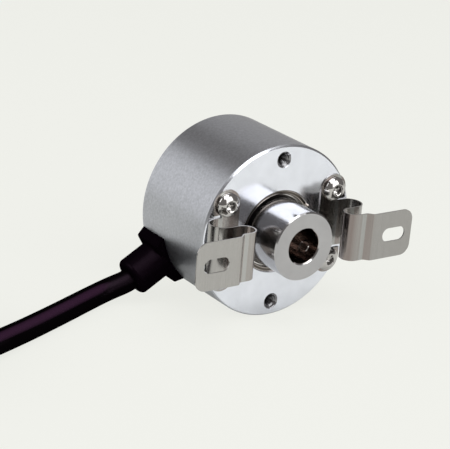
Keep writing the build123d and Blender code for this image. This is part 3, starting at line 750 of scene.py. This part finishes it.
def moulded(name, colour, roughness, height=0.004, **sockets):
    """Moulded plastic or rubber."""
    mat = principled(name, colour, roughness, **sockets)
    tint(mat, noise(mat, (350, 350, 350)), colour, shades=(0.85, 1.15))
    moulded_skin(mat, roughness, height)
    return mat


# Painted shade and highlights across the springs at their bends: place from the middle plane, and shade
BEND_SHADING_BANDS = (
    (11.0, 0.86), (13.2, 0.70), (13.7, 0.84), (14.6, 0.94), (15.2, 0.88), (15.5, 1.06), (16.4, 1.04),
    (16.6, 0.78), (17.7, 0.82), (17.9, 0.96), (19.0, 0.98),
)
BEND_SHADING_START, BEND_SHADING_END = BEND_SHADING_BANDS[0][0], BEND_SHADING_BANDS[-1][0]
BEND_SHADING_TINT = (1.0, 1.4, 1.5)              # powers of a shade for red, green and blue
STREAKS = (5200, 0, 60)
STREAK_SHADES = (0.93, 1.04)
EDGE_STEEP = (0.6, 0.8)


def bend_shading_and_streaks(mat):
    """Multiplies a sheet's colour by painted shade and highlight bands at its bends, and by fine
    streaks.
    """
    base = shader_of(mat).inputs["Base Color"]
    side = maths(mat, "ABSOLUTE", along_axis(mat, "Object", "X"))
    reach = spread(mat, side, BEND_SHADING_START * MM, BEND_SHADING_END * MM)
    stops = [
        ((place - BEND_SHADING_START) / (BEND_SHADING_END - BEND_SHADING_START), [shade ** power for power in BEND_SHADING_TINT])
        for place, shade in BEND_SHADING_BANDS
    ]
    streaked = add_node(
        mat, "ShaderNodeVectorMath", colour_ramp(mat, reach, stops),
        operation="SCALE", Scale=vary(mat, noise(mat, STREAKS), *STREAK_SHADES),
    )
    before = base.links[0].from_socket
    shaded = add_node(
        mat, "ShaderNodeVectorMath", before, streaked.outputs[0], operation="MULTIPLY",
    )
    feed(mat, base, shaded.outputs[0])


# Black pieces: the gloss fades out where they are seen at a flat angle and where they face down
FLAT_FADE = (0.16, 0.36)
UPWARD_FADE = (0.10, 0.40)
SHEEN = (1.0, 0.62, 0.95, 1)
BOOT_GLOSS, JACKET_GLOSS = 0.036, 0.08
# A painted highlight: a lighter band in the jacket's base colour, on the side that faces this fixed
# direction
HIGHLIGHT_BAND_DIRECTION = (0.225, -0.501, 0.836)
HIGHLIGHT_BAND_STOPS = (
    (0.890, (0.0015, 0.001, 0.0014)),
    (0.935, (0.014, 0.006, 0.013)),
    (0.995, (0.026, 0.0105, 0.024)),
)


def gloss_on_top(mat, gloss):
    """Gloss on the upper side of a dark piece, none underneath or where it is seen at a flat angle."""
    facing = add_node(mat, "ShaderNodeLayerWeight", Blend=0.5).outputs["Facing"]
    flat = spread(mat, facing, *FLAT_FADE, gloss, 0.0)
    upward = spread(mat, along_axis(mat, "Normal", "Z"), *UPWARD_FADE)
    feed(mat, shader_of(mat).inputs["Specular IOR Level"], maths(mat, "MULTIPLY", flat, upward))


def painted_highlight_band(mat):
    """A painted highlight: a lighter band in a dark piece's base colour, where its surface faces one
    direction.
    """
    normal = coordinates(mat, "Normal")
    near = add_node(mat, "ShaderNodeVectorMath", normal, HIGHLIGHT_BAND_DIRECTION, operation="DOT_PRODUCT")
    feed(mat, shader_of(mat).inputs["Base Color"], colour_ramp(mat, near.outputs["Value"], HIGHLIGHT_BAND_STOPS))


ALUMINIUM = (0.80, 0.83, 0.90)
INNER_ALUMINIUM = (0.74, 0.75, 0.76)
BLASTED = (0.452, 0.468, 0.502)
STAINLESS = (0.434, 0.433, 0.442)
BORE_PAINTED_SHADE = (0.40, 0.355, 0.335)
TAPPED_PAINTED_SHADE = (0.14, 0.14, 0.145)
TAPPED_MOUTH_PAINTED_SHADE = (0.26, 0.26, 0.27)
SPRING_STEEL = (0.435, 0.432, 0.42)
SHEARED_EDGE = (0.33, 0.32, 0.31)
SCREW_STEEL = (0.50, 0.49, 0.48)
SET_SCREW_PAINTED_LIGHT = (0.80, 0.78, 0.76)
RING_STEEL = (0.10, 0.09, 0.08)
RING_EDGE_HIGHLIGHT = (0.40, 0.37, 0.345)
BEARING_STEEL = (0.62, 0.61, 0.60)
BALL_STEEL = (0.72, 0.71, 0.70)
CAGE_STEEL = (0.58, 0.53, 0.42)
DARK_STEEL = (0.10, 0.095, 0.09)
PHOSPHATE = (0.09, 0.09, 0.085)
DISC_STEEL = (0.66, 0.64, 0.60)
ZINC = (0.62, 0.64, 0.66)
BRASS = (0.62, 0.44, 0.18)
TIN = (0.72, 0.71, 0.70)
BLACK = (0.0025, 0.0012, 0.0025)
BLACK_PLASTIC = (0.022, 0.022, 0.024)
CHIP_PLASTIC = (0.014, 0.014, 0.016)
BOARD_GREEN = (0.012, 0.11, 0.045)
CREAM = (0.66, 0.63, 0.52)
RUBBER = (0.012, 0.012, 0.012)
NYLON = (0.020, 0.020, 0.022)
LENS = (0.85, 0.88, 0.90)
WIRE_COLOURS = {
    "brown": (0.12, 0.045, 0.018),
    "white": (0.72, 0.71, 0.68),
    "green": (0.03, 0.22, 0.06),
    "yellow": (0.75, 0.48, 0.03),
    "grey": (0.22, 0.22, 0.23),
}
RIGHT_SHEET_PAINTED_SHADE = 0.87
SHEET_GRAIN = (14000, 14000, 900)
# Where one finish changes into another, or where painted shade or a painted highlight starts: radii and
# depths in millimetres
RIM_CHANGE = (19.70, 19.77)
BORE_SHADE_CHANGE = (4.10, 4.02)
RING_OUTER_CHANGE = (9.26, 9.36)
RING_INNER_CHANGE = (8.84, 8.76)
MOUTH_CHANGE = (0.65, 0.35)

flange_metal = turned_metal("flange_metal", ALUMINIUM, 0.15, pitch=0.00015, height=0.0005)
blend_at_radius(flange_metal, *RIM_CHANGE, BLASTED, 0.31)
# Painted shade: the threads in the tapped holes are far darker than the flange's aluminium, less dark
# at the countersinks
tapped_metal_shaded = rolled_metal("tapped_metal_shaded", TAPPED_PAINTED_SHADE, 0.20, scales=(2500, 2500, 2500))
blend_at_depth(tapped_metal_shaded, *MOUTH_CHANGE, TAPPED_MOUTH_PAINTED_SHADE, 0.2)
cap_metal = blasted_metal("cap_metal", BLASTED, 0.34)
shaft_metal = turned_metal("shaft_metal", STAINLESS, 0.13, pitch=0.00009, height=0.0006)
# Painted shade: the bore's wall is darker and browner than the shaft's steel
blend_at_radius(shaft_metal, *BORE_SHADE_CHANGE, BORE_PAINTED_SHADE, 0.13)
left_sheet = rolled_metal("left_sheet", SPRING_STEEL, 0.20, SHEET_GRAIN, height=0.0006)
# Painted shade: the right spring gets a darker copy of the left spring's steel
right_painted_shade_colour = scaled(SPRING_STEEL, RIGHT_SHEET_PAINTED_SHADE)
right_sheet_shaded = rolled_metal("right_sheet_shaded", right_painted_shade_colour, 0.20, SHEET_GRAIN, height=0.0006)
for sheet in (left_sheet, right_sheet_shaded):
    # Painted shade and highlights at the bends, over the sheet's real fine streaks
    bend_shading_and_streaks(sheet)
    blend_on_edges(sheet, SHEARED_EDGE, 0.42)
screw_metal = rolled_metal("screw_metal", SCREW_STEEL, 0.08, scales=(1500, 1500, 1500), height=0.0003)
ring_metal = rolled_metal("ring_metal", RING_STEEL, 0.18, scales=(2500, 9000, 2500), height=0.0005)
# Painted highlights: lighter bands in the snap ring's colour along its outer and inner edges
blend_at_radius(ring_metal, *RING_OUTER_CHANGE, RING_EDGE_HIGHLIGHT, 0.16)
blend_at_radius(ring_metal, *RING_INNER_CHANGE, RING_EDGE_HIGHLIGHT, 0.16)
# Painted light: the set screw's steel is made lighter than steel, so that its tip deep in the bore
# looks lit
set_screw_metal = turned_metal("set_screw_metal", SET_SCREW_PAINTED_LIGHT, 0.13)
bearing_metal = turned_metal("bearing_metal", BEARING_STEEL, 0.14, pitch=0.00008, height=0.0008)
ball_metal = rolled_metal("ball_metal", BALL_STEEL, 0.06, scales=(900, 900, 900), height=0.0002)
cage_metal = rolled_metal("cage_metal", CAGE_STEEL, 0.30, scales=(3000, 6000, 3000))
shield_metal = rolled_metal("shield_metal", DARK_STEEL, 0.34, scales=(2500, 8000, 2500))
plain_steel = turned_metal("plain_steel", ZINC, 0.28)
phosphated = blasted_metal("phosphated", PHOSPHATE, 0.55)
inner_aluminium = turned_metal("inner_aluminium", INNER_ALUMINIUM, 0.24)
disc_metal = rolled_metal("disc_metal", DISC_STEEL, 0.16, scales=(700, 700, 700), height=0.0004)
brass = turned_metal("brass", BRASS, 0.22)
tinned = rolled_metal("tinned", TIN, 0.25, scales=(4000, 4000, 4000), height=0.004)
black_plastic = moulded("black_plastic", BLACK_PLASTIC, 0.45)
chip_plastic = moulded("chip_plastic", CHIP_PLASTIC, 0.5)
board_mask = moulded("board_mask", BOARD_GREEN, 0.32)
cream_plastic = moulded("cream_plastic", CREAM, 0.42)
rubber = moulded("rubber", RUBBER, 0.6)
nylon = moulded("nylon", NYLON, 0.36)
clear_lens = moulded("clear_lens", LENS, 0.08, height=0.0005, Transmission_Weight=0.9, IOR=1.49)
boot_rubber = moulded("boot_rubber", BLACK, 0.28, height=0.002, Specular_Tint=SHEEN)
gloss_on_top(boot_rubber, BOOT_GLOSS)
jacket = principled("jacket", BLACK, 0.36, Specular_Tint=SHEEN)
# The jacket's base colour is black with a painted highlight band along one side
painted_highlight_band(jacket)
moulded_skin(jacket, 0.36, height=0.0015)
gloss_on_top(jacket, JACKET_GLOSS)
wire_skins = [moulded(f"wire_{name}", colour, 0.38) for name, colour in WIRE_COLOURS.items()]

finishes = {
    flange_metal: ["flange"],
    cap_metal: ["housing_cap"],
    shaft_metal: ["hollow_shaft"],
    left_sheet: ["left_coupling_spring"],
    right_sheet_shaded: ["right_coupling_spring"],
    ring_metal: ["wave_washer"],
    set_screw_metal: ["set_screws"],
    bearing_metal: [
        "front_bearing_outer", "front_bearing_inner", "rear_bearing_outer", "rear_bearing_inner",
        "bearing_spacer",
    ],
    ball_metal: ["front_balls", "rear_balls"],
    cage_metal: ["front_cage", "rear_cage"],
    shield_metal: ["bearing_shields"],
    plain_steel: ["disc_screw", "board_screws", "cable_crimp"],
    phosphated: ["shaft_circlip"],
    inner_aluminium: ["disc_hub", "disc_clamp"],
    disc_metal: ["code_disc"],
    brass: ["board_posts"],
    black_plastic: ["led_holder"],
    clear_lens: ["led_lens"],
    chip_plastic: ["sensor_chip", "board_chips"],
    board_mask: ["main_board"],
    cream_plastic: ["wire_connector"],
    rubber: ["o_ring"],
    boot_rubber: ["cable_boot"],
    jacket: ["cable_end"],
    wire_skins[0]: ["inner_wires"],
}
for finish, nodes in finishes.items():
    for name in nodes:
        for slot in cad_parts[name].material_slots:
            slot.material = finish

dressed = [(cable, jacket), (snap_ring, ring_metal), *zip(wires, wire_skins)]
dressed += [(core, tinned) for core in cores]
dressed += [(thread, tapped_metal_shaded) for thread in threads]
dressed += [(screw, screw_metal) for screw in screws]
dressed += [(tie, nylon) for tie in ties]
for piece, finish in dressed:
    piece.data.materials.append(finish)

# Studio: a pale floor, a soft world and soft lamps
WORLD_COLOUR = (0.235, 0.222, 0.215)
BACKGROUND = (0.870, 0.878, 0.830)
FLOOR_COLOUR = (0.80, 0.80, 0.77)
FLOOR_HALF = 4
FLOOR_GAP = 0.02
SEEN_GLOW = 0.90         # how much of the background's even colour the camera sees on the floor
MIRRORED_GLOW = 0.20     # and how much of it shows in reflections

scene.view_settings.view_transform = "Standard"
world = bpy.data.worlds.new("studio")
scene.world = world
world.use_nodes = True
world.node_tree.nodes["Background"].inputs["Color"].default_value = (*WORLD_COLOUR, 1)
world.node_tree.nodes["Background"].inputs["Strength"].default_value = 1.0

floor_mesh = bpy.data.meshes.new("floor")
floor_corners = [
    (sx * FLOOR_HALF, sy * FLOOR_HALF, 0) for sx, sy in ((-1, -1), (1, -1), (1, 1), (-1, 1))
]
floor_mesh.from_pydata(floor_corners, [], [(0, 1, 2, 3)])
floor = bpy.data.objects.new("floor", floor_mesh)
floor.location.z = (FLOOR - FLOOR_GAP) * MM
scene.collection.objects.link(floor)
floor_look = bpy.data.materials.new("floor_look")
floor_look.use_nodes = True
floor_look.node_tree.nodes.clear()
ray = add_node(floor_look, "ShaderNodeLightPath").outputs
seen = maths(floor_look, "MAXIMUM", ray["Is Camera Ray"], ray["Is Transmission Ray"])
seen_share = maths(floor_look, "MULTIPLY", seen, SEEN_GLOW)
share = maths(floor_look, "MULTIPLY_ADD", ray["Is Glossy Ray"], MIRRORED_GLOW, seen_share)
diffuse = add_node(floor_look, "ShaderNodeBsdfDiffuse", Color=(*FLOOR_COLOUR, 1))
glow = add_node(floor_look, "ShaderNodeEmission", Color=(*BACKGROUND, 1), Strength=1.0)
blend = add_node(floor_look, "ShaderNodeMixShader", share, diffuse.outputs[0], glow.outputs[0])
add_node(floor_look, "ShaderNodeOutputMaterial", Surface=blend.outputs[0])
floor_mesh.materials.append(floor_look)


def lamp(name, place, size, power, aim=(0, 0.01, 0)):
    """A square soft lamp, aimed at a point. Metres and watts."""
    data = bpy.data.lights.new(name, "AREA")
    data.shape = "SQUARE"
    data.size = size
    data.energy = power
    obj = bpy.data.objects.new(name, data)
    obj.location = place
    obj.rotation_mode = "QUATERNION"
    obj.rotation_quaternion = (Vector(aim) - Vector(place)).to_track_quat("-Z", "Y")
    scene.collection.objects.link(obj)


lamp("rear_left", (-0.46, 0.65, 0.24), size=0.60, power=1.00)
lamp("rear_right", (0.46, 0.65, 0.33), size=0.60, power=0.30)
lamp("left", (-0.68, 0.08, 0.50), size=0.45, power=1.8)
lamp("key", (0.22, -0.68, 0.45), size=0.75, power=4.4, aim=(0, 0, 0))
lamp("above", (-0.05, -0.32, 0.80), size=0.60, power=4.3)
